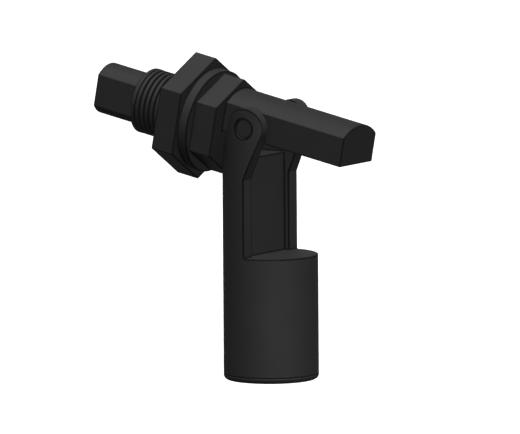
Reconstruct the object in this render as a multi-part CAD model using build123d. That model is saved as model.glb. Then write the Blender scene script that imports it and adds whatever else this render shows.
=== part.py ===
from build123d import *
import math
import os

# Side-mounted float level switch, in millimetres. The origin is on the spigot's axis, at the
# sealing face of the hexagonal flange. +X runs along the arm into the tank, +Z is up, and the
# float swings about an axis along Y.

# Housing moulding, from the cable stub to the tip of the arm
stub_length = 16.25
stub_diameter = 16.4
stub_across_flats = 13.0
spigot_length = 26.15
thread_crest_diameter = 20.955
thread_root_diameter = 18.63
spigot_chamfer = 0.4
flange_thickness = 8.14
flange_across_flats = 27.4
arm_length = 45.86
arm_top_radius = 12.9
arm_width = 17.84
arm_underside_z = 0.0
edge_radius = 0.25
joint_overlap = 1.0

# Mounting nut and sealing gasket on the spigot
gasket_thickness = 3.5
gasket_diameter = 32.8
nut_thickness = 8.1
nut_across_flats = 34.2
nut_countersink_diameter = 21.7
running_gap = 0.08
face_gap = 0.04

# Pivot of the float on the arm's two trunnions
pivot_x = 19.8
pivot_z = 4.37
ear_hole_diameter = 6.4
trunnion_recess = 0.8
rest_lean_degrees = 10.7

# Float, measured from the pivot along its own axis
float_diameter = 30.0
ear_gap = 20.6
lug_radius = 6.5
lug_root_depth = 16.4
web_recess = 1.73
web_top_depth = 10.07
step_depth = 41.2
foot_depth = 80.85
foot_radius = 1.55
cap_rim = 0.18
seam_chamfer = 0.12
float_wall = 1.6
cavity_roof_depth = 19.5
cap_spigot_depth = 4.0
cap_spigot_wall = 1.6

# Magnet, in a pocket in the roof of the float's cavity
magnet_diameter = 6.0
magnet_length = 6.0
magnet_chamfer = 0.3
magnet_setback = 7.2
magnet_cover = 1.7

# Blind bore for the contact, through the stub and along the arm
bore_diameter = 5.2
bore_axis_z = 4.1
bore_end_wall = 2.5
bore_end_clearance = 2.65
bore_mouth_chamfer = 0.4
bond_gap = 0.02

# Reed contact, set back from the bore's blind end to where the raised float brings its magnet
reed_drop = 1.0
glass_diameter = 2.3
glass_length = 14.0
glass_wall = 0.25
glass_seal = 2.0
glass_end_radius = 0.55
lead_diameter = 0.5
blade_width = 1.2
blade_thickness = 0.2
blade_overlap = 1.2
contact_gap = 0.1
sleeve_overhang = 1.0
sleeve_gap = 0.05

# Splices and the two wires that run back to the inlets in the potted end
crimp_diameter = 1.2
crimp_length = 4.0
crimp_stand_off = 2.6
splice_gap = 0.4
shrink_wall = 0.2
shrink_overlap = 0.6
core_diameter = 0.5
insulation_diameter = 1.3
return_rise = 1.4
return_bend_lead_in = 1.0
potting_sink = 0.8
potting_length = 12.0
inlet_diameter = 1.7
inlet_depth = 3.2

# Places that follow from the sizes above
stub_end_x = -spigot_length - stub_length
arm_tip_x = flange_thickness + arm_length
bore_end_x = arm_tip_x - bore_end_wall
float_radius = float_diameter / 2
seam_z = -foot_depth + foot_radius + cap_rim
magnet_top = -web_top_depth - magnet_cover
reed_z = bore_axis_z - reed_drop
return_z = bore_axis_z + return_rise
nut_end_x = -gasket_thickness - 2 * face_gap
potting_start_x = stub_end_x + potting_sink
potting_end_x = potting_start_x + potting_length
wire_end_x = potting_start_x + inlet_depth
return_bend_radius = (return_rise + reed_drop) / 2
return_turn_x = bore_end_x - bore_end_clearance - return_bend_radius - core_diameter / 2
front_crimp_x = return_turn_x - return_bend_lead_in - crimp_length
glass_front_x = front_crimp_x - crimp_stand_off
reed_x = glass_front_x - glass_length / 2
glass_rear_x = reed_x - glass_length / 2
rear_crimp_x = glass_rear_x - crimp_stand_off - crimp_length
lead_reach = crimp_stand_off + (crimp_length - splice_gap) / 2
core_reach = (crimp_length - splice_gap) / 2


def across(width):
    """Corner radius of a hexagon with this width across its flats."""
    return width / math.sqrt(3)


def along_x(profile, start, length):
    """Extrudes a profile drawn in Y and Z from x = start."""
    return extrude(Plane.YZ.offset(start) * profile, length)


def rod(diameter, start, end, z=0.0):
    return along_x(Pos(0, z) * Circle(diameter / 2), start, end - start)


def tube(outer, inner, start, end, z=0.0):
    return rod(outer, start, end, z) - rod(inner, start, end, z)


def hexagon(width):
    """Hexagon with a corner at the top, its corners slightly rounded."""
    shape = RegularPolygon(across(width), 6, rotation=90)
    return fillet(shape.vertices(), edge_radius)


def ends_along(body, axis, at):
    """The edges that bound the flat end of a body at this place along an axis."""
    flat = body.faces().filter_by(axis)
    return flat.sort_by(lambda f: abs(f.center().dot(axis.direction) - at))[0].outer_wire().edges()


def in_float(body):
    """Places a body drawn in the float's own frame, its origin on the pivot, Z up its axis."""
    return Location((pivot_x, 0, pivot_z), (0, -rest_lean_degrees, 0)) * body


# Housing, one moulding
def arm_profile():
    half_round = Circle(arm_top_radius) & Rectangle(arm_width, 4 * arm_top_radius)
    below = Pos(0, arm_underside_z) * Rectangle(
        arm_width * 2, 4 * arm_top_radius, align=(Align.CENTER, Align.MAX))
    profile = half_round - below
    return fillet(profile.vertices(), edge_radius)


def trunnion(side):
    """Round boss that stands out of the arm's flat side and through one ear of the float."""
    reach = float_radius - trunnion_recess
    root = arm_width / 2 - joint_overlap
    plane = Plane(origin=(pivot_x, side * root, pivot_z), z_dir=(0, side, 0))
    boss = extrude(plane * Circle(ear_hole_diameter / 2 - running_gap), reach - root)
    return fillet(ends_along(boss, Axis.Y, side * reach), edge_radius)


def switch_body():
    flats = Rectangle(stub_across_flats, stub_diameter)
    profile = Circle(stub_diameter / 2) & flats
    stub = along_x(fillet(profile.vertices(), edge_radius), stub_end_x, stub_length)
    stub = fillet(ends_along(stub, Axis.X, stub_end_x), edge_radius)
    spigot = rod(thread_root_diameter, -spigot_length, 0)
    spigot = chamfer(ends_along(spigot, Axis.X, -spigot_length), spigot_chamfer)
    flange = along_x(hexagon(flange_across_flats), 0, flange_thickness)
    flange = fillet(ends_along(flange, Axis.X, flange_thickness), edge_radius)
    arm = along_x(arm_profile(), flange_thickness - joint_overlap, arm_length + joint_overlap)
    arm = fillet(ends_along(arm, Axis.X, arm_tip_x), edge_radius)
    body = stub + spigot + flange + arm
    for side in (-1, 1):
        body += trunnion(side)
    mouth = Location((stub_end_x, 0, bore_axis_z), (0, 90, 0)) * Cone(
        bore_diameter / 2 + bore_mouth_chamfer, bore_diameter / 2, bore_mouth_chamfer,
        align=(Align.CENTER, Align.CENTER, Align.MIN))
    return body - rod(bore_diameter, stub_end_x, bore_end_x, bore_axis_z) - mouth


# Nut and gasket
def sealing_gasket():
    ring = tube(gasket_diameter, thread_crest_diameter + 2 * running_gap,
                -face_gap - gasket_thickness, -face_gap)
    for at in (-face_gap, -face_gap - gasket_thickness):
        ring = fillet(ends_along(ring, Axis.X, at), edge_radius)
    return ring


def mounting_nut():
    """Hexagonal nut whose bore is countersunk at both faces, past the crests of the thread."""
    blank = along_x(hexagon(nut_across_flats), nut_end_x - nut_thickness, nut_thickness)
    for at in (nut_end_x, nut_end_x - nut_thickness):
        blank = fillet(ends_along(blank, Axis.X, at), edge_radius)
    bore = thread_root_diameter + 2 * running_gap
    nut = blank - rod(bore, nut_end_x - nut_thickness, nut_end_x)
    mouths = nut.edges().filter_by(GeomType.CIRCLE).sort_by(SortBy.RADIUS)[-2:]
    return chamfer(mouths, (nut_countersink_diameter - bore) / 2)


# Float, drawn in its own frame with the pivot at the origin
def upright(radius, bottom, top, x=0.0):
    """Cylinder along the float's axis."""
    return Pos(x, 0, bottom) * Cylinder(
        radius, top - bottom, align=(Align.CENTER, Align.CENTER, Align.MIN))


def float_side_profile():
    """Side outline: the long body, the step, and the lug that leans forward to the pivot."""
    slope = math.asin(lug_radius / lug_root_depth)
    front = (lug_radius * math.cos(slope), -lug_radius * math.sin(slope))
    back = (-front[0], -front[1])
    back_edge = (-float_radius, back[1] - (float_radius + back[0]) / math.tan(slope))
    crown = (lug_radius * math.sin(slope), lug_radius * math.cos(slope))
    path = Polyline(back, back_edge, (-float_radius, seam_z), (float_radius, seam_z),
                    (float_radius, -step_depth), (0, -step_depth), (0, -lug_root_depth), front)
    arc = ThreePointArc(front, crown, back)
    return make_face([path, arc])


def float_cavity():
    """Hollow of the float: round below the step, half-round behind the web above it."""
    inner = float_radius - float_wall
    round_part = upright(inner, seam_z, -step_depth - float_wall)
    half_part = upright(inner, seam_z, -cavity_roof_depth)
    keep = Pos(-web_recess - float_wall, 0, seam_z) * Box(
        float_diameter, float_diameter, foot_depth, align=(Align.MAX, Align.CENTER, Align.MIN))
    return round_part + (half_part & keep)


def float_shell():
    side = Plane.XZ.offset(-float_radius) * float_side_profile()
    body = extrude(side, float_diameter) & upright(float_radius, -foot_depth, lug_radius)
    channel = Pos(-web_recess, 0, -step_depth) * Box(
        float_diameter, ear_gap, step_depth + 2 * lug_radius,
        align=(Align.MIN, Align.CENTER, Align.MIN))
    above_web = Pos(0, 0, -web_top_depth) * Box(
        2 * float_diameter, ear_gap, web_top_depth + 2 * lug_radius,
        align=(Align.CENTER, Align.CENTER, Align.MIN))
    body = body - channel - above_web
    body = fillet([edge for edge in body.edges() if edge.center().Z > -step_depth - edge_radius],
                  edge_radius)
    body = chamfer(ends_along(body, Axis.Z, seam_z), seam_chamfer)
    holes = Rot(90, 0, 0) * Cylinder(ear_hole_diameter / 2, 2 * float_diameter)
    pocket = upright(magnet_diameter / 2 + bond_gap, -cavity_roof_depth,
                     magnet_top, -magnet_setback)
    return in_float(body - holes - float_cavity() - pocket)


def float_end_cap():
    """Disc with a rounded edge, a fine V at the seam and a spigot that plugs the float's foot."""
    disc = upright(float_radius, -foot_depth, seam_z)
    disc = fillet(disc.edges().sort_by(Axis.Z)[0], foot_radius)
    disc = chamfer(ends_along(disc, Axis.Z, seam_z), seam_chamfer)
    outer = float_radius - float_wall - bond_gap
    spigot = upright(outer, seam_z, seam_z + cap_spigot_depth)
    hollow = upright(outer - cap_spigot_wall, seam_z, seam_z + cap_spigot_depth)
    return in_float(disc + (spigot - hollow))


def float_magnet():
    magnet = upright(magnet_diameter / 2, magnet_top - magnet_length, magnet_top, -magnet_setback)
    return in_float(chamfer(magnet.edges(), magnet_chamfer))


def magnet_plug():
    return in_float(upright(magnet_diameter / 2, -cavity_roof_depth,
                            magnet_top - magnet_length, -magnet_setback))


# Reed contact in the arm
def reed_glass():
    capsule = rod(glass_diameter, glass_rear_x, glass_front_x, reed_z)
    capsule = fillet(capsule.edges(), glass_end_radius)
    hollow = rod(glass_diameter - 2 * glass_wall, glass_rear_x + glass_seal,
                 glass_front_x - glass_seal, reed_z)
    return capsule - hollow - rod(lead_diameter, glass_rear_x, glass_front_x, reed_z)


def reed_blade(side):
    """Round lead that is flattened inside the capsule. side is -1 for the rear blade."""
    outer_end = reed_x + side * (glass_length / 2 + lead_reach)
    seal_end = reed_x + side * (glass_length / 2 - glass_seal)
    tip = reed_x - side * blade_overlap / 2
    lead = rod(lead_diameter, min(outer_end, seal_end), max(outer_end, seal_end), reed_z)
    middle = reed_z + side * (contact_gap + blade_thickness) / 2
    flat = Pos((seal_end + tip) / 2, 0, middle) * Box(
        abs(seal_end - tip), blade_width, blade_thickness)
    return lead + flat


def reed_sleeve():
    start = glass_rear_x - sleeve_overhang
    end = glass_front_x + sleeve_overhang
    body = rod(bore_diameter - 2 * sleeve_gap, start, end, bore_axis_z)
    body -= rod(glass_diameter + 2 * bond_gap, start, end, reed_z)
    return body - rod(insulation_diameter + 2 * bond_gap, start, end, return_z)


# Splices and wires
def crimp(start):
    return tube(crimp_diameter, lead_diameter + 2 * bond_gap, start, start + crimp_length, reed_z)


def shrink_sleeve(start):
    inner = crimp_diameter + 2 * bond_gap
    return tube(inner + 2 * shrink_wall, inner, start - shrink_overlap,
                start + crimp_length + shrink_overlap, reed_z)


def rear_lead_core():
    return rod(core_diameter, wire_end_x, rear_crimp_x + core_reach, reed_z)


def rear_lead_insulation():
    return tube(insulation_diameter, core_diameter + 2 * bond_gap, wire_end_x,
                rear_crimp_x - shrink_overlap - bond_gap, reed_z)


def return_lead_core():
    """Copper that leaves the front splice, turns back over it and runs to the potted end."""
    start = (front_crimp_x + crimp_length - core_reach, 0, reed_z)
    lower = Line(start, (return_turn_x, 0, reed_z))
    arc = ThreePointArc(lower @ 1, (return_turn_x + return_bend_radius, 0, reed_z + return_bend_radius),
                        (return_turn_x, 0, return_z))
    upper = Line(arc @ 1, (wire_end_x, 0, return_z))
    section = Plane(origin=start, z_dir=(1, 0, 0)) * Circle(core_diameter / 2)
    return sweep(section, path=Wire([lower, arc, upper]))


def return_lead_insulation():
    return tube(insulation_diameter, core_diameter + 2 * bond_gap, wire_end_x,
                front_crimp_x, return_z)


def potting_plug():
    """Cast resin in the stub's end, round both wires, with an inlet in front of each."""
    plug = rod(bore_diameter - 2 * bond_gap, potting_start_x, potting_end_x, bore_axis_z)
    for z in (reed_z, return_z):
        plug -= rod(insulation_diameter + 2 * bond_gap, wire_end_x, potting_end_x, z)
        plug -= rod(inlet_diameter, potting_start_x, wire_end_x, z)
    return plug


pieces = {
    "switch_body": switch_body(),
    "sealing_gasket": sealing_gasket(),
    "mounting_nut": mounting_nut(),
    "float_shell": float_shell(),
    "float_end_cap": float_end_cap(),
    "float_magnet": float_magnet(),
    "magnet_plug": magnet_plug(),
    "reed_glass": reed_glass(),
    "reed_blade_rear": reed_blade(-1),
    "reed_blade_front": reed_blade(1),
    "reed_sleeve": reed_sleeve(),
    "rear_crimp": crimp(rear_crimp_x),
    "front_crimp": crimp(front_crimp_x),
    "rear_shrink_sleeve": shrink_sleeve(rear_crimp_x),
    "front_shrink_sleeve": shrink_sleeve(front_crimp_x),
    "rear_lead_core": rear_lead_core(),
    "rear_lead_insulation": rear_lead_insulation(),
    "return_lead_core": return_lead_core(),
    "return_lead_insulation": return_lead_insulation(),
    "potting_plug": potting_plug(),
}

os.makedirs("parts", exist_ok=True)
for name, piece in pieces.items():
    export_step(piece, f"parts/{name}.step")
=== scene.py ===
import math
import bmesh
import bpy
from mathutils import Matrix, Vector


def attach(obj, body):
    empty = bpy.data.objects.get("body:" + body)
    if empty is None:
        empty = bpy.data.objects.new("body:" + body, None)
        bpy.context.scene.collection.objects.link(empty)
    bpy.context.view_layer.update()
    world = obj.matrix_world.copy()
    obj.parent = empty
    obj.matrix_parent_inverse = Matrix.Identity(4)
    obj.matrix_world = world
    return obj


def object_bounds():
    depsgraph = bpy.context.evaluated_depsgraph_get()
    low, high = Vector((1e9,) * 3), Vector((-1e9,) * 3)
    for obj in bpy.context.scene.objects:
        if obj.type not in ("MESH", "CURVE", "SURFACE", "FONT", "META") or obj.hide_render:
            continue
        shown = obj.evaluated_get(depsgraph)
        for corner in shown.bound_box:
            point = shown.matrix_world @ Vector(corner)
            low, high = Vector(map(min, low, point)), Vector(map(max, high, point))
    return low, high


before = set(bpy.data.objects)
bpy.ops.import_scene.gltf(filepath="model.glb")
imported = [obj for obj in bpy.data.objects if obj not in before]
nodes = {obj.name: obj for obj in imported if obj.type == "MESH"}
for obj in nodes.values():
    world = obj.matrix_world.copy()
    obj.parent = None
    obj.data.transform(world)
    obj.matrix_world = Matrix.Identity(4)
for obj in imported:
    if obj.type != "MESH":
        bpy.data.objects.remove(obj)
cad_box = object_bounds()


# The housing is one black moulding: stub, spigot, flange, arm and the two trunnions. Its mould was
# spark-eroded to a fine even matt, and the resin's flow leaves faint clouds in the black. Along
# edges and in corners a dull deep black is painted on as painted shade, in thin dark lines.
HOUSING_FINISH = {"Deep": (0.0125, 0.0125, 0.013, 1), "Cloud": (0.0165, 0.0165, 0.017, 1),
                  "Grain Size": 0.00022, "Grain Depth": 0.000006, "Roughness": 0.56}
MATT_SHEEN = {"Specular IOR Level": 0.3}
CLOUD_SCALE = 95
CLOUD_DETAIL = 4
GRAIN_DETAIL = 2
ROUGHNESS_SWING = 0.05
# The edge colour below is painted shade: black painted along edges and into corners.
EDGE_SHADE_BLACK = (0, 0, 0, 1)
EDGE_ROUGHNESS = 1.0
EDGE_REACH = 0.0006
EDGE_FADES_AT = 0.93
EDGE_FULL_AT = 0.87
SURFACE_SOCKETS = {"Color": "Base Color", "Roughness": "Roughness", "Normal": "Normal"}


def new_effect(name, inputs, outputs):
    """Empty node group with these sockets, each with its kind, and its input and output nodes."""
    group = bpy.data.node_groups.new(name, "ShaderNodeTree")
    for way, sockets in (("INPUT", inputs), ("OUTPUT", outputs)):
        for socket, kind in sockets.items():
            group.interface.new_socket(socket, in_out=way, socket_type="NodeSocket" + kind)
    return group, group.nodes.new("NodeGroupInput"), group.nodes.new("NodeGroupOutput")


def moulded_surface():
    """Node group for a moulded face: clouded colour, uneven roughness and a fine eroded grain."""
    group, given, result = new_effect(
        "moulded_surface",
        {"Deep": "Color", "Cloud": "Color", "Grain Size": "Float", "Grain Depth": "Float",
         "Roughness": "Float"},
        {"Color": "Color", "Roughness": "Float", "Normal": "Vector"})
    tree, link = group.nodes, group.links.new
    place = tree.new("ShaderNodeTexCoord")
    clouds = tree.new("ShaderNodeTexNoise")
    clouds.inputs["Scale"].default_value = CLOUD_SCALE
    clouds.inputs["Detail"].default_value = CLOUD_DETAIL
    link(place.outputs["Object"], clouds.inputs["Vector"])
    blend = tree.new("ShaderNodeMix")
    blend.data_type = "RGBA"
    link(clouds.outputs["Fac"], blend.inputs["Factor"])
    link(given.outputs["Deep"], blend.inputs["A"])
    link(given.outputs["Cloud"], blend.inputs["B"])
    per_metre = tree.new("ShaderNodeMath")
    per_metre.operation = "DIVIDE"
    per_metre.inputs[0].default_value = 1
    link(given.outputs["Grain Size"], per_metre.inputs[1])
    grain = tree.new("ShaderNodeTexNoise")
    grain.inputs["Detail"].default_value = GRAIN_DETAIL
    link(place.outputs["Object"], grain.inputs["Vector"])
    link(per_metre.outputs["Value"], grain.inputs["Scale"])
    bump = tree.new("ShaderNodeBump")
    link(grain.outputs["Fac"], bump.inputs["Height"])
    link(given.outputs["Grain Depth"], bump.inputs["Distance"])
    uneven = tree.new("ShaderNodeMapRange")
    uneven.inputs["To Min"].default_value = -ROUGHNESS_SWING
    uneven.inputs["To Max"].default_value = ROUGHNESS_SWING
    link(clouds.outputs["Fac"], uneven.inputs["Value"])
    total = tree.new("ShaderNodeMath")
    link(given.outputs["Roughness"], total.inputs[0])
    link(uneven.outputs["Result"], total.inputs[1])
    link(blend.outputs["Result"], result.inputs["Color"])
    link(total.outputs["Value"], result.inputs["Roughness"])
    link(bump.outputs["Normal"], result.inputs["Normal"])
    return group


def painted_edge_shade():
    """Node group for painted shade: another colour and roughness close to a face's edges and corners.
    """
    group, given, result = new_effect(
        "painted_edge_shade",
        {"Color": "Color", "Roughness": "Float", "Edge Color": "Color", "Edge Roughness": "Float",
         "Reach": "Float"},
        {"Color": "Color", "Roughness": "Float"})
    tree, link = group.nodes, group.links.new
    openness = tree.new("ShaderNodeMath")
    openness.operation = "MINIMUM"
    for number, inwards in enumerate((True, False)):
        around = tree.new("ShaderNodeAmbientOcclusion")
        around.inside = inwards
        around.only_local = True
        link(given.outputs["Reach"], around.inputs["Distance"])
        link(around.outputs["AO"], openness.inputs[number])
    edge = tree.new("ShaderNodeMapRange")
    edge.inputs["From Min"].default_value = EDGE_FADES_AT
    edge.inputs["From Max"].default_value = EDGE_FULL_AT
    link(openness.outputs["Value"], edge.inputs["Value"])
    colour = tree.new("ShaderNodeMix")
    colour.data_type = "RGBA"
    dullness = tree.new("ShaderNodeMix")
    for mix, name in ((colour, "Color"), (dullness, "Roughness")):
        link(edge.outputs["Result"], mix.inputs["Factor"])
        link(given.outputs[name], mix.inputs["A"])
        link(given.outputs["Edge " + name], mix.inputs["B"])
        link(mix.outputs["Result"], result.inputs[name])
    return group


MOULDED = moulded_surface()
PAINTED_EDGE_SHADE = painted_edge_shade()


def surfaced(name, effect, finish, fixed):
    """Material whose surface an effect gives, set by its finish, with fixed values on the shader."""
    material = bpy.data.materials.new(name)
    material.use_nodes = True
    tree = material.node_tree
    shader = tree.nodes["Principled BSDF"]
    surface = tree.nodes.new("ShaderNodeGroup")
    surface.node_tree = effect
    for socket, value in finish.items():
        surface.inputs[socket].default_value = value
    for socket, value in fixed.items():
        shader.inputs[socket].default_value = value
    for output, socket in SURFACE_SOCKETS.items():
        if output in surface.outputs and socket not in fixed:
            tree.links.new(surface.outputs[output], shader.inputs[socket])
    return material


def lay_over(material, effect, settings):
    """Puts an effect between what gives a material its surface and its shader."""
    tree = material.node_tree
    shader = tree.nodes["Principled BSDF"]
    layer = tree.nodes.new("ShaderNodeGroup")
    layer.node_tree = effect
    for socket, value in settings.items():
        layer.inputs[socket].default_value = value
    for output, socket in SURFACE_SOCKETS.items():
        if output in layer.outputs:
            tree.links.new(shader.inputs[socket].links[0].from_socket, layer.inputs[output])
            tree.links.new(layer.outputs[output], shader.inputs[socket])
    return material


def paint_edge_shade(material, reach=EDGE_REACH):
    """Gives a moulded material painted black shade along its edges and in its corners."""
    return lay_over(material, PAINTED_EDGE_SHADE, {"Edge Color": EDGE_SHADE_BLACK,
                                           "Edge Roughness": EDGE_ROUGHNESS, "Reach": reach})


def dress(node, material):
    """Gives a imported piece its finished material."""
    mesh = nodes[node].data
    mesh.materials.clear()
    mesh.materials.append(material)


housing_plastic = surfaced("housing_plastic", MOULDED, HOUSING_FINISH, MATT_SHEEN)
# The housing's edges and corners get painted black shade.
dress("switch_body", paint_edge_shade(housing_plastic))


# The spigot's thread is moulded with the housing: a right-handed half inch parallel pipe thread
# with broad crests, and painted shade darkens the roots between them. It ends in a ring of
# full diameter, one turn long, out of which the first groove opens bluntly on the near side.
THREAD_PITCH = 0.001814
THREAD_START_ANGLE = math.pi
THREAD_TURNS = 13.4
THREAD_BASE_RADIUS = 0.00929
THREAD_BASE_WIDTH = 0.0018
CREST_RADIUS = 0.01042
CREST_WIDTH = 0.00084
CREST_ROUNDING = 0.00006
FIRST_CREST = -0.02558
SPIGOT_END = -0.02615
RING_RADIUS = 0.0104775
RING_BASE_RADIUS = 0.008915
RING_TURNS = 1
RING_TO_CREST = 0.00072
RING_EDGE_REACH = 0.0003
END_FACE_DEPTH = 0.00001
END_FACE_MATERIAL = 1
STEPS_PER_TURN = 96
MERGE_WITHIN = 1e-7
CUT_WITHIN = 1e-8
SHARP_FROM = math.radians(15)
# The root colour below is painted shade, laid dark into the grooves between the crests.
ROOT_SHADE = {"Root Color": (0.0015, 0.0015, 0.0016, 1), "Root Edge": 0.0101,
              "Crest Edge": 0.01038}
ACROSS_SPIGOT = (0, 1, 1)


def helical_land(corners, turns):
    """Land that starts as this closed profile, given as X and radius, and advances along +X."""
    bm = bmesh.new()
    profile = [bm.verts.new((x, radius, 0)) for x, radius in corners]
    bm.faces.new(profile)
    bmesh.ops.bevel(bm, geom=profile[1:3], offset=CREST_ROUNDING, offset_type="OFFSET", segments=2,
                    profile=0.5, affect="VERTICES", material=-1)
    bmesh.ops.rotate(bm, verts=bm.verts, matrix=Matrix.Rotation(THREAD_START_ANGLE, 3, "X"))
    steps = round(turns * STEPS_PER_TURN)
    bmesh.ops.spin(bm, geom=bm.verts[:] + bm.edges[:] + bm.faces[:], cent=(0, 0, 0),
                   axis=(1, 0, 0), dvec=(THREAD_PITCH / STEPS_PER_TURN, 0, 0),
                   angle=math.tau * steps / STEPS_PER_TURN, steps=steps)
    bmesh.ops.remove_doubles(bm, verts=bm.verts, dist=MERGE_WITHIN)
    bmesh.ops.bisect_plane(bm, geom=bm.verts[:] + bm.edges[:] + bm.faces[:], dist=CUT_WITHIN,
                           plane_co=(SPIGOT_END, 0, 0), plane_no=(-1, 0, 0), clear_outer=True)
    bmesh.ops.holes_fill(bm, edges=[edge for edge in bm.edges if edge.is_boundary], sides=0)
    bmesh.ops.recalc_face_normals(bm, faces=bm.faces)
    return bm


def finished_piece(name, bm, material, body):
    """Makes a scene piece from a bmesh, smooth except at its sharp edges, and seats it on a body."""
    mesh = bpy.data.meshes.new(name)
    bm.to_mesh(mesh)
    bm.free()
    mesh.materials.append(material)
    mesh.shade_smooth()
    mesh.set_sharp_from_angle(angle=SHARP_FROM)
    piece = bpy.data.objects.new(name, mesh)
    bpy.context.scene.collection.objects.link(piece)
    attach(piece, body)
    return piece


def painted_root_shade():
    """Node group that paints shade between the crests, by the distance from the spigot's axis."""
    group, given, result = new_effect(
        "painted_root_shade",
        {"Color": "Color", "Root Color": "Color", "Root Edge": "Float", "Crest Edge": "Float"},
        {"Color": "Color"})
    tree, link = group.nodes, group.links.new
    place = tree.new("ShaderNodeTexCoord")
    across = tree.new("ShaderNodeVectorMath")
    across.operation = "MULTIPLY"
    across.inputs[1].default_value = ACROSS_SPIGOT
    radius = tree.new("ShaderNodeVectorMath")
    radius.operation = "LENGTH"
    root_shade_factor = tree.new("ShaderNodeMapRange")
    shade = tree.new("ShaderNodeMix")
    shade.data_type = "RGBA"
    link(place.outputs["Object"], across.inputs[0])
    link(across.outputs["Vector"], radius.inputs[0])
    link(radius.outputs["Value"], root_shade_factor.inputs["Value"])
    link(given.outputs["Root Edge"], root_shade_factor.inputs["From Min"])
    link(given.outputs["Crest Edge"], root_shade_factor.inputs["From Max"])
    link(root_shade_factor.outputs["Result"], shade.inputs["Factor"])
    link(given.outputs["Root Color"], shade.inputs["A"])
    link(given.outputs["Color"], shade.inputs["B"])
    link(shade.outputs["Result"], result.inputs["Color"])
    return group


PAINTED_ROOT_SHADE = painted_root_shade()

land = helical_land(((FIRST_CREST - THREAD_BASE_WIDTH / 2, THREAD_BASE_RADIUS),
                     (FIRST_CREST - CREST_WIDTH / 2, CREST_RADIUS),
                     (FIRST_CREST + CREST_WIDTH / 2, CREST_RADIUS),
                     (FIRST_CREST + THREAD_BASE_WIDTH / 2, THREAD_BASE_RADIUS)), THREAD_TURNS)
land_plastic = surfaced("land_plastic", MOULDED, HOUSING_FINISH, MATT_SHEEN)
# Painted shade darkens the roots between the crests.
lay_over(land_plastic, PAINTED_ROOT_SHADE, ROOT_SHADE)
finished_piece("spigot_thread", land, land_plastic, "housing")

ring_edge = FIRST_CREST - RING_TO_CREST
ring = helical_land(((ring_edge - THREAD_PITCH, RING_BASE_RADIUS),
                     (ring_edge - THREAD_PITCH, RING_RADIUS), (ring_edge, RING_RADIUS),
                     (ring_edge, RING_BASE_RADIUS)), RING_TURNS)
for face in ring.faces:
    if face.calc_center_median().x < SPIGOT_END + END_FACE_DEPTH:
        face.material_index = END_FACE_MATERIAL
ring_plastic = surfaced("ring_plastic", MOULDED, HOUSING_FINISH, MATT_SHEEN)
# The ring gets painted black shade at its edges and painted shade in its roots.
lay_over(paint_edge_shade(ring_plastic, RING_EDGE_REACH), PAINTED_ROOT_SHADE, ROOT_SHADE)
ring_piece = finished_piece("spigot_end_ring", ring, ring_plastic, "housing")
end_face_plastic = surfaced("end_face_plastic", MOULDED, HOUSING_FINISH, MATT_SHEEN)
ring_piece.data.materials.append(end_face_plastic)


# Cast resin closes the stub's end round the two wires, whose ends lie back in their inlets. It is
# a black epoxy, glossier than the moulding.
RESIN_FINISH = {"Deep": (0.010, 0.010, 0.011, 1), "Cloud": (0.018, 0.018, 0.019, 1),
                "Grain Size": 0.0012, "Grain Depth": 0.00002, "Roughness": 0.22}
GLOSSY_SHEEN = {"Specular IOR Level": 0.5}
dress("potting_plug", surfaced("potting_resin", MOULDED, RESIN_FINISH, GLOSSY_SHEEN))


# The wires inside the bore: drawn copper in soft insulation, with drawn brass splice barrels under
# short shrink sleeves.
STREAKS_PER_METRE = (300, 9000, 9000)
COPPER_FINISH = {"Streaks": STREAKS_PER_METRE, "Dark Color": (0.64, 0.336, 0.216, 1),
                 "Light Color": (0.80, 0.42, 0.27, 1), "Least": 0.24, "Most": 0.40}
BRASS_FINISH = {"Streaks": STREAKS_PER_METRE, "Dark Color": (0.576, 0.44, 0.224, 1),
                "Light Color": (0.72, 0.55, 0.28, 1), "Least": 0.27, "Most": 0.43}
INSULATION_FINISH = {"Deep": (0.030, 0.030, 0.031, 1), "Cloud": (0.042, 0.042, 0.043, 1),
                     "Grain Size": 0.0004, "Grain Depth": 0.000004, "Roughness": 0.38}
SHRINK_FINISH = {"Deep": (0.018, 0.018, 0.018, 1), "Cloud": (0.027, 0.027, 0.027, 1),
                 "Grain Size": 0.0006, "Grain Depth": 0.00001, "Roughness": 0.5}
METAL = {"Metallic": 1}


def drawn_streaks():
    """Node group for what is drawn along X: lengthwise streaks in colour and roughness."""
    group, given, result = new_effect(
        "drawn_streaks",
        {"Streaks": "Vector", "Dark Color": "Color", "Light Color": "Color", "Least": "Float",
         "Most": "Float"},
        {"Color": "Color", "Roughness": "Float"})
    tree, link = group.nodes, group.links.new
    place = tree.new("ShaderNodeTexCoord")
    stretch = tree.new("ShaderNodeVectorMath")
    stretch.operation = "MULTIPLY"
    streaks = tree.new("ShaderNodeTexNoise")
    streaks.inputs["Scale"].default_value = 1
    colour = tree.new("ShaderNodeMix")
    colour.data_type = "RGBA"
    polish = tree.new("ShaderNodeMapRange")
    link(place.outputs["Object"], stretch.inputs[0])
    link(given.outputs["Streaks"], stretch.inputs[1])
    link(stretch.outputs["Vector"], streaks.inputs["Vector"])
    link(streaks.outputs["Fac"], colour.inputs["Factor"])
    link(given.outputs["Dark Color"], colour.inputs["A"])
    link(given.outputs["Light Color"], colour.inputs["B"])
    link(streaks.outputs["Fac"], polish.inputs["Value"])
    link(given.outputs["Least"], polish.inputs["To Min"])
    link(given.outputs["Most"], polish.inputs["To Max"])
    link(colour.outputs["Result"], result.inputs["Color"])
    link(polish.outputs["Result"], result.inputs["Roughness"])
    return group


DRAWN = drawn_streaks()

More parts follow.
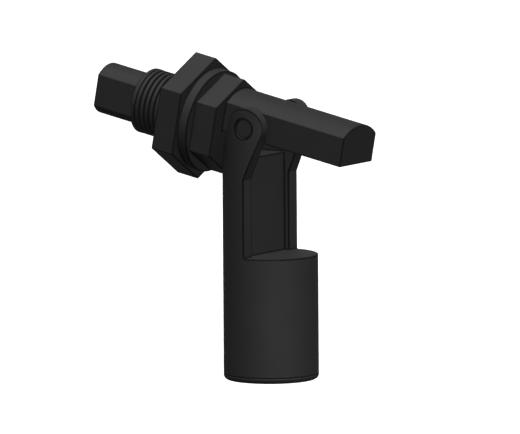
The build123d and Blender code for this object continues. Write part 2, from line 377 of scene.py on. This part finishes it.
copper = surfaced("wire_copper", DRAWN, COPPER_FINISH, METAL)
brass = surfaced("crimp_brass", DRAWN, BRASS_FINISH, METAL)
insulation = surfaced("wire_insulation", MOULDED, INSULATION_FINISH, GLOSSY_SHEEN)
shrink = surfaced("shrink_sleeve", MOULDED, SHRINK_FINISH, MATT_SHEEN)
for wire in ("rear_lead", "return_lead"):
    dress(wire + "_core", copper)
    dress(wire + "_insulation", insulation)
for splice in ("rear", "front"):
    dress(splice + "_crimp", brass)
    dress(splice + "_shrink_sleeve", shrink)


# The reed contact: two plated spring blades sealed in a capsule of pale green glass, held in the
# arm's bore by a soft silicone sleeve.
BLADE_FINISH = {"Streaks": STREAKS_PER_METRE, "Dark Color": (0.528, 0.512, 0.48, 1),
                "Light Color": (0.66, 0.64, 0.60, 1), "Least": 0.17, "Most": 0.33}
GLASS_FINISH = {"Streaks": (60, 2500, 2500), "Dark Color": (0.72, 0.88, 0.75, 1),
                "Light Color": (0.82, 0.93, 0.84, 1)}
CLEAR_GLASS = {"Roughness": 0.04, "Transmission Weight": 1, "IOR": 1.5}
SLEEVE_FINISH = {"Deep": (0.55, 0.55, 0.53, 1), "Cloud": (0.62, 0.62, 0.60, 1),
                 "Grain Size": 0.0006, "Grain Depth": 0.00001, "Roughness": 0.6}
SLEEVE_SHEEN = {"Specular IOR Level": 0.4}
blade_metal = surfaced("blade_metal", DRAWN, BLADE_FINISH, METAL)
for blade in ("rear", "front"):
    dress("reed_blade_" + blade, blade_metal)
dress("reed_sleeve", surfaced("sleeve_rubber", MOULDED, SLEEVE_FINISH, SLEEVE_SHEEN))
dress("reed_glass", surfaced("contact_glass", DRAWN, GLASS_FINISH, CLEAR_GLASS))


# Sealing gasket: a flat ring of black rubber against the flange, softer and duller than the
# mouldings.
GASKET_FINISH = {"Deep": (0.0135, 0.0135, 0.014, 1), "Cloud": (0.019, 0.019, 0.0195, 1),
                 "Grain Size": 0.0003, "Grain Depth": 0.00001, "Roughness": 0.7}
RUBBER_SHEEN = {"Specular IOR Level": 0.25}
gasket_rubber = surfaced("gasket_rubber", MOULDED, GASKET_FINISH, RUBBER_SHEEN)
# Its edges and corners get the same painted black shade.
dress("sealing_gasket", paint_edge_shade(gasket_rubber))


# Hexagonal nut, moulded in the same black plastic as the housing. It runs on the spigot's thread
# and clamps the tank's wall against the gasket.
NUT_FINISH = {**HOUSING_FINISH, "Grain Size": 0.00025, "Roughness": 0.54}
nut_plastic = surfaced("nut_plastic", MOULDED, NUT_FINISH, MATT_SHEEN)
# Its edges and corners get the same painted black shade.
dress("mounting_nut", paint_edge_shade(nut_plastic))


# The float: a thin-walled moulding with its ears and web, and a cap welded into its foot. A magnet
# and its plug are pressed into a pocket inside. Only the shell has painted black shade at its
# edges, because the cap's rounded rim is all edge and would go black.
FLOAT_FINISH = {"Deep": (0.0170, 0.0170, 0.0173, 1), "Cloud": (0.0210, 0.0210, 0.0213, 1),
                "Grain Size": 0.00022, "Grain Depth": 0.000006, "Roughness": 0.52}
FLOAT_SHEEN = {"Specular IOR Level": 0.22}
FERRITE_FINISH = {"Deep": (0.045, 0.045, 0.048, 1), "Cloud": (0.075, 0.075, 0.08, 1),
                  "Grain Size": 0.00015, "Grain Depth": 0.00001, "Roughness": 0.45}
shell_plastic = surfaced("shell_plastic", MOULDED, FLOAT_FINISH, FLOAT_SHEEN)
cap_plastic = surfaced("cap_plastic", MOULDED, FLOAT_FINISH, FLOAT_SHEEN)
dress("float_shell", paint_edge_shade(shell_plastic))
dress("float_end_cap", cap_plastic)
dress("magnet_plug", cap_plastic)
dress("float_magnet", surfaced("magnet_ferrite", MOULDED, FERRITE_FINISH, GLOSSY_SHEEN))


# Studio: a plain pale floor well below the switch, broad soft light from above, over the viewer's
# shoulder, from the arm's tip and from behind, and the camera at the photograph's angle, without
# perspective.
FLOOR_DROP = 0.30
FLOOR_SIZE = 12.0
PAPER_ROUGHNESS = 0.9
PAPER_FIBRE_SCALE = 40
PAPER_TONES = ((0.84, 0.84, 0.84, 1), (0.88, 0.88, 0.88, 1))
SOFTNESS = math.radians(60)
SUNS = {
    "overhead": {"strength": 1.25, "azimuth": 0, "elevation": 90},
    "over_shoulder": {"strength": 4.3, "azimuth": 33, "elevation": 55},
    "tip_side": {"strength": 0.18, "azimuth": 85, "elevation": 5},
    "behind": {"strength": 5.0, "azimuth": 213, "elevation": -13},
}
WORLD_WHITE = (1, 1, 1, 1)
WORLD_STRENGTH = 0.095
VIEW_AZIMUTH = math.radians(32.91)
VIEW_ELEVATION = math.radians(13.44)
VIEW_ROLL = math.radians(8.66)
VIEW_CENTRE_RIGHT = 0.013647
VIEW_CENTRE_UP = -0.03009
VIEW_WIDTH = 0.16363
CAMERA_DISTANCE = 0.6


def pale_paper():
    """Matt paper for the floor, faintly mottled."""
    paper = bpy.data.materials.new("pale_paper")
    paper.use_nodes = True
    tree = paper.node_tree
    shader = tree.nodes["Principled BSDF"]
    shader.inputs["Roughness"].default_value = PAPER_ROUGHNESS
    place = tree.nodes.new("ShaderNodeTexCoord")
    fibres = tree.nodes.new("ShaderNodeTexNoise")
    fibres.inputs["Scale"].default_value = PAPER_FIBRE_SCALE
    tone = tree.nodes.new("ShaderNodeValToRGB")
    for element, colour in zip(tone.color_ramp.elements, PAPER_TONES):
        element.color = colour
    tree.links.new(place.outputs["Object"], fibres.inputs["Vector"])
    tree.links.new(fibres.outputs["Fac"], tone.inputs["Fac"])
    tree.links.new(tone.outputs["Color"], shader.inputs["Base Color"])
    return paper


def sun(name, strength, azimuth, elevation):
    """Soft light without shadows from a direction, azimuth 0 being the front and 90 the arm's tip."""
    light = bpy.data.lights.new(name, "SUN")
    light.energy = strength
    light.angle = SOFTNESS
    light.use_shadow = False
    lamp = bpy.data.objects.new(name, light)
    lamp.rotation_euler = (math.radians(90 - elevation), 0, math.radians(azimuth))
    bpy.context.scene.collection.objects.link(lamp)
    return lamp


bpy.ops.mesh.primitive_plane_add(size=FLOOR_SIZE, location=(0, 0, cad_box[0][2] - FLOOR_DROP))
floor = bpy.context.object
floor.name = "floor"
floor.data.materials.append(pale_paper())
floor.visible_diffuse = False
floor.visible_glossy = False
floor.visible_shadow = False

suns = {name: sun(name, **values) for name, values in SUNS.items()}
suns["behind"].data.use_shadow = True
suns["behind"].visible_glossy = False

world = bpy.data.worlds.new("studio")
bpy.context.scene.world = world
world.use_nodes = True
world.node_tree.nodes["Background"].inputs["Color"].default_value = WORLD_WHITE
world.node_tree.nodes["Background"].inputs["Strength"].default_value = WORLD_STRENGTH

turn = (Matrix.Rotation(VIEW_AZIMUTH, 3, "Z") @ Matrix.Rotation(math.pi / 2 - VIEW_ELEVATION, 3, "X")
        @ Matrix.Rotation(VIEW_ROLL, 3, "Z"))
camera = bpy.data.objects.new("camera", bpy.data.cameras.new("camera"))
camera.data.type = "ORTHO"
camera.data.ortho_scale = VIEW_WIDTH
camera.matrix_world = Matrix.Translation(
    turn @ Vector((VIEW_CENTRE_RIGHT, VIEW_CENTRE_UP, CAMERA_DISTANCE))) @ turn.to_4x4()
bpy.context.scene.collection.objects.link(camera)
bpy.context.scene.camera = camera
bpy.context.scene.view_settings.view_transform = "Standard"
